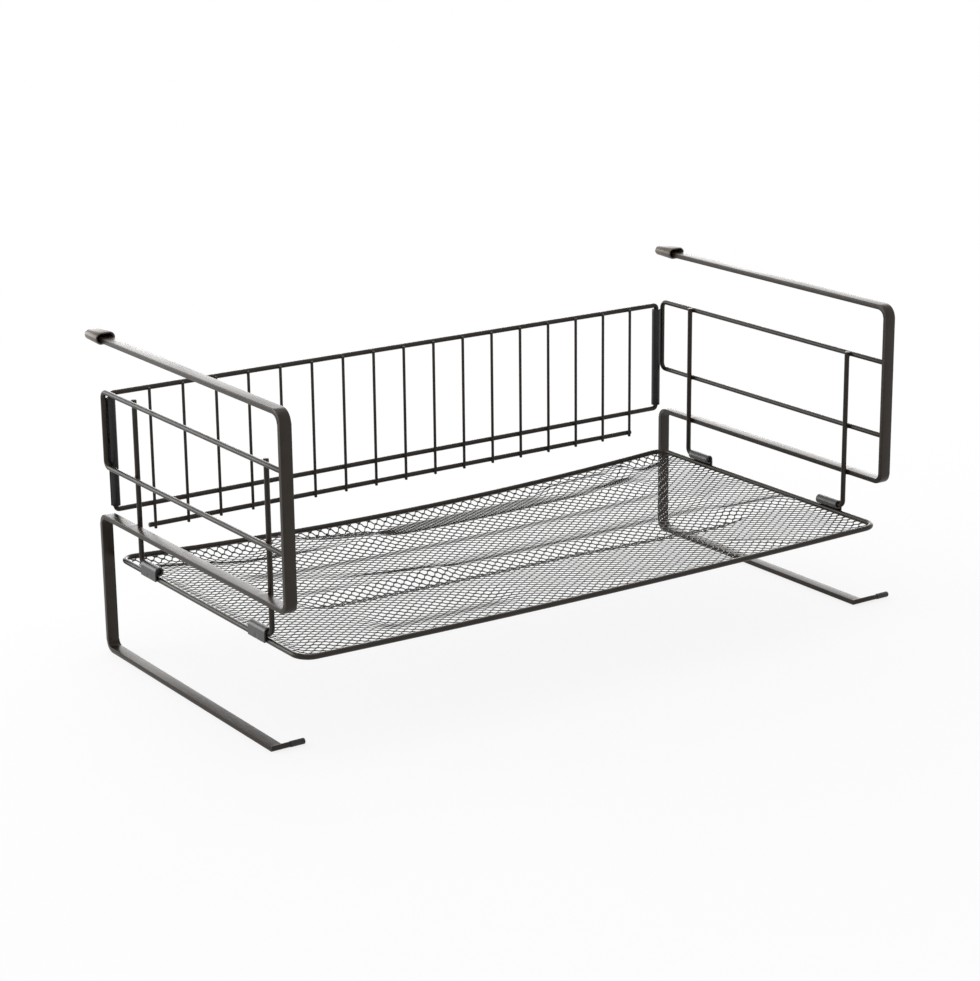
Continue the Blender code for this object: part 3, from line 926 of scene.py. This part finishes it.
def add_peg(side_name):
    """Draw the peg welded across the bottom arm's end, with its fluted tip."""
    node = f"{side_name}_peg"
    low, high = span(node)
    tip_low, tip_high = span(node + "_tip")
    radius = (high.z - low.z) / 2
    tip_radius = (tip_high.z - tip_low.z) / 2
    start = Vector((low.x, (low.y + high.y) / 2, (low.z + high.z) / 2))
    shoulder = tip_low.x - low.x
    spigot = radius * SPIGOT_SHARE
    spigot_end = high.x - low.x
    profile = [
        (radius - PEG_EDGE, 0),
        (radius - PEG_EDGE * 0.6, PEG_EDGE * 0.12),
        (radius - PEG_EDGE * 0.28, PEG_EDGE * 0.35),
        (radius, PEG_EDGE),
        (radius, shoulder - WELD_GAP),
        (spigot, shoulder - WELD_GAP),
        (spigot, spigot_end),
    ]
    bm = bmesh.new()
    turned(bm, profile, start, WIRE_SIDES * 2)
    dress(node, new_piece(node + "_rod", bm), WIRE_COAT)
    end = tip_high.x - tip_low.x
    bore = spigot + WELD_GAP
    tip_profile = [
        (bore, end - TIP_END_WALL),
        (bore, 0),
        (tip_radius - TIP_ROUNDING * 0.3, 0),
        (tip_radius, TIP_ROUNDING * 0.3),
        (tip_radius, end - TIP_ROUNDING),
        (tip_radius - TIP_ROUNDING * 0.29, end - TIP_ROUNDING * 0.29),
        (tip_radius - TIP_ROUNDING, end),
    ]
    tip_start = Vector((tip_low.x, start.y, (tip_low.z + tip_high.z) / 2))
    bm = bmesh.new()
    turned(bm, tip_profile, tip_start, TIP_SIDES, flutes=TIP_FLUTES, flute_depth=TIP_FLUTE_DEPTH)
    dress(node + "_tip", new_piece(node + "_tip_sleeve", bm), TIP_PLASTIC)


# Back panel

def add_sleeve(side_name, side):
    """Draw the rolled sleeve round an end wire of the back panel."""
    node = f"{side_name}_sleeve"
    low, high = span(node)
    frame_low, frame_high = span("back_frame")
    wire_radius = (frame_high.y - frame_low.y) / 2
    pivot_x = (frame_low.x if side < 0 else frame_high.x) - side * wire_radius
    radius = (high.y - low.y) / 2 - CLIP_SHEET / 2
    centre = Vector((pivot_x, (low.y + high.y) / 2, (low.z + high.z) / 2))
    length = high.z - low.z
    stations = [(step / SLEEVE_STEPS - 0.5) * length for step in range(SLEEVE_STEPS + 1)]
    path = arc(centre, radius, SLEEVE_SEAM / 2, math.tau - SLEEVE_SEAM, (side, 0, 0), (0, 1, 0))
    piece = rolled(node, path, Z_AXIS, stations, CLIP_SHEET)
    dress(node, piece, SHEET_COAT)


def slat_nodes():
    """Give the names of the back panel's slats."""
    return sorted(node for node in frame["nodes"] if node.startswith("back_slat_"))


def add_panel():
    """Draw the back panel: wire frame, bottom rail and slats, welded at each crossing."""
    low, high = span("back_frame")
    radius = (high.y - low.y) / 2
    y = (low.y + high.y) / 2
    left, right = low.x + radius, high.x - radius
    top, bottom = high.z - radius, low.z + radius
    corners = [
        ((left, y, top), PANEL_BEND),
        ((right, y, top), PANEL_BEND),
        ((right, y, bottom), PANEL_BEND),
        ((left, y, bottom), PANEL_BEND),
    ]
    slats = slat_nodes()
    forward = Vector((0, -1, 0))
    frame_welds = []
    rail_welds = []
    weld_height = WELD_HEIGHT * SLAT_WELD_SHARE
    weld_reach = WELD_REACH * SLAT_WELD_SHARE
    rail_low, rail_high = span("back_bottom_rail")
    rail_z = (rail_low.z + rail_high.z) / 2
    for node in slats:
        x = middle(node).x
        for z in (top, bottom):
            frame_welds.append((Vector((x, y, z)), forward, weld_height, weld_reach))
        rail_welds.append((Vector((x, y, rail_z)), forward, weld_height, weld_reach))
    path = fillet(corners, closed=True)
    piece = wire("back_frame", path, Y_AXIS, radius * 2, closed=True, welds=frame_welds)
    dress("back_frame", piece, WIRE_COAT)
    rail_path = [Vector((rail_low.x, y, rail_z)), Vector((rail_high.x, y, rail_z))]
    piece = wire("back_bottom_rail", rail_path, Y_AXIS, radius * 2, welds=rail_welds)
    dress("back_bottom_rail", piece, WIRE_COAT)
    for node in slats:
        slat_low, slat_high = span(node)
        slat_radius = (slat_high.x - slat_low.x) / 2
        at = (slat_low + slat_high) / 2
        welds = []
        for z in (top, bottom, rail_z):
            welds.append((Vector((at.x, at.y, z)), Y_AXIS, WELD_HEIGHT, WELD_REACH))
        path = [Vector((at.x, at.y, slat_low.z)), Vector((at.x, at.y, slat_high.z))]
        piece = wire(node, path, Y_AXIS, slat_radius * 2, welds=welds, sides=SLAT_SIDES)
        dress(node, piece, WIRE_COAT)


# Studio

def add_camera():
    """Place the camera where the photograph was taken from."""
    data = bpy.data.cameras.new("camera")
    data.sensor_fit = "HORIZONTAL"
    data.sensor_width = SENSOR_WIDTH
    data.lens = FOCAL_PIXELS * SENSOR_WIDTH / IMAGE_PIXELS
    camera = bpy.data.objects.new("camera", data)
    bpy.context.scene.collection.objects.link(camera)
    flat = math.cos(CAMERA_ELEVATION)
    back = Vector((
        math.sin(CAMERA_AZIMUTH) * flat,
        -math.cos(CAMERA_AZIMUTH) * flat,
        math.sin(CAMERA_ELEVATION),
    ))
    level = Vector((math.cos(CAMERA_AZIMUTH), math.sin(CAMERA_AZIMUTH), 0))
    upright = back.cross(level)
    right = level * math.cos(CAMERA_ROLL) + upright * math.sin(CAMERA_ROLL)
    up = upright * math.cos(CAMERA_ROLL) - level * math.sin(CAMERA_ROLL)
    turn = Matrix((right, up, back)).transposed()
    place = TRAY + right * CAMERA_RIGHT + up * CAMERA_UP + back * CAMERA_DISTANCE
    camera.matrix_world = Matrix.LocRotScale(place, turn.to_quaternion(), None)
    bpy.context.scene.camera = camera


def bright_to_camera(tree):
    """Give 1 where a ray shows the background: seen, mirrored or through glass."""
    path = tree.nodes.new("ShaderNodeLightPath")
    first = tree.nodes.new("ShaderNodeMath")
    first.operation = "MAXIMUM"
    link(tree, path, "Is Camera Ray", first, 0)
    link(tree, path, "Is Glossy Ray", first, 1)
    second = tree.nodes.new("ShaderNodeMath")
    second.operation = "MAXIMUM"
    link(tree, first, "Value", second, 0)
    link(tree, path, "Is Transmission Ray", second, 1)
    return second


def add_world():
    """Light the room evenly, with a white background."""
    world = bpy.data.worlds.new("room")
    bpy.context.scene.world = world
    world.use_nodes = True
    tree = world.node_tree
    background = tree.nodes["Background"]
    background.inputs["Color"].default_value = (1, 1, 1, 1)
    seen = bright_to_camera(tree)
    level = tree.nodes.new("ShaderNodeMapRange")
    level.inputs["To Min"].default_value = ROOM_FILL
    level.inputs["To Max"].default_value = 1.0
    link(tree, seen, "Value", level, "Value")
    link(tree, level, "Result", background, "Strength")


def add_floor():
    """Lay a pale floor that keeps the shadow near the basket and fades to plain white."""
    bm = bmesh.new()
    bmesh.ops.create_circle(bm, cap_ends=True, segments=FLOOR_SIDES, radius=FLOOR_RADIUS)
    mesh = bpy.data.meshes.new("floor")
    bm.to_mesh(mesh)
    bm.free()
    floor = bpy.data.objects.new("floor", mesh)
    bpy.context.scene.collection.objects.link(floor)
    material = bpy.data.materials.new("floor_paper")
    material.use_nodes = True
    tree = material.node_tree
    paper = tree.nodes["Principled BSDF"]
    paper.inputs["Roughness"].default_value = 0.9
    paper.inputs["Specular IOR Level"].default_value = 0.0
    coordinates = tree.nodes.new("ShaderNodeTexCoord")
    grain = noise(tree, coordinates, FLOOR_GRAIN, detail=3)
    ramp = tree.nodes.new("ShaderNodeValToRGB")
    for element, tone in zip(ramp.color_ramp.elements, FLOOR_TONES):
        element.color = (tone, tone, tone, 1)
    link(tree, grain, "Fac", ramp, "Fac")
    link(tree, ramp, "Color", paper, "Base Color")
    distance = tree.nodes.new("ShaderNodeVectorMath")
    distance.operation = "LENGTH"
    link(tree, coordinates, "Object", distance, "Vector")
    share = tree.nodes.new("ShaderNodeMapRange")
    share.inputs["From Min"].default_value = FLOOR_NEAR
    share.inputs["From Max"].default_value = FLOOR_FAR
    share.inputs["To Min"].default_value = FLOOR_NEAR_SHARE
    share.inputs["To Max"].default_value = 1.0
    link(tree, distance, "Value", share, "Value")
    white = tree.nodes.new("ShaderNodeEmission")
    white.inputs["Strength"].default_value = 1.0
    level = tree.nodes.new("ShaderNodeMath")
    level.operation = "MULTIPLY"
    link(tree, bright_to_camera(tree), "Value", level, 0)
    link(tree, share, "Result", level, 1)
    mix = tree.nodes.new("ShaderNodeMixShader")
    link(tree, level, "Value", mix, "Fac")
    link(tree, paper, "BSDF", mix, 1)
    link(tree, white, "Emission", mix, 2)
    link(tree, mix, "Shader", tree.nodes["Material Output"], "Surface")
    floor.data.materials.append(material)


def add_lamp(name, place, size, level):
    """Add a soft rectangular lamp whose face has a level, where 1 is white."""
    data = bpy.data.lights.new(name, "AREA")
    data.shape = "RECTANGLE"
    data.size, data.size_y = size
    data.energy = level * math.pi * size[0] * size[1]
    lamp = bpy.data.objects.new(name, data)
    lamp.location = place
    direction = Vector(LAMPS_AIM) - Vector(place)
    lamp.rotation_euler = direction.to_track_quat("-Z", "Y").to_euler()
    lamp.visible_camera = False
    bpy.context.scene.collection.objects.link(lamp)


add_rim()
add_net()
for side_label, side_sign in (("left", -1), ("right", 1)):
    add_strip(side_label, side_sign)
    add_rail(side_label, side_sign)
    for place_label in ("front", "rear"):
        add_clip(side_label, side_sign, place_label)
        add_upright(side_label, side_sign, place_label)
    add_cap(side_label)
    add_peg(side_label)
    add_sleeve(side_label, side_sign)
add_panel()

add_camera()
add_world()
add_floor()
for lamp_settings in LAMPS:
    add_lamp(*lamp_settings)
bpy.context.scene.view_settings.view_transform = "Standard"
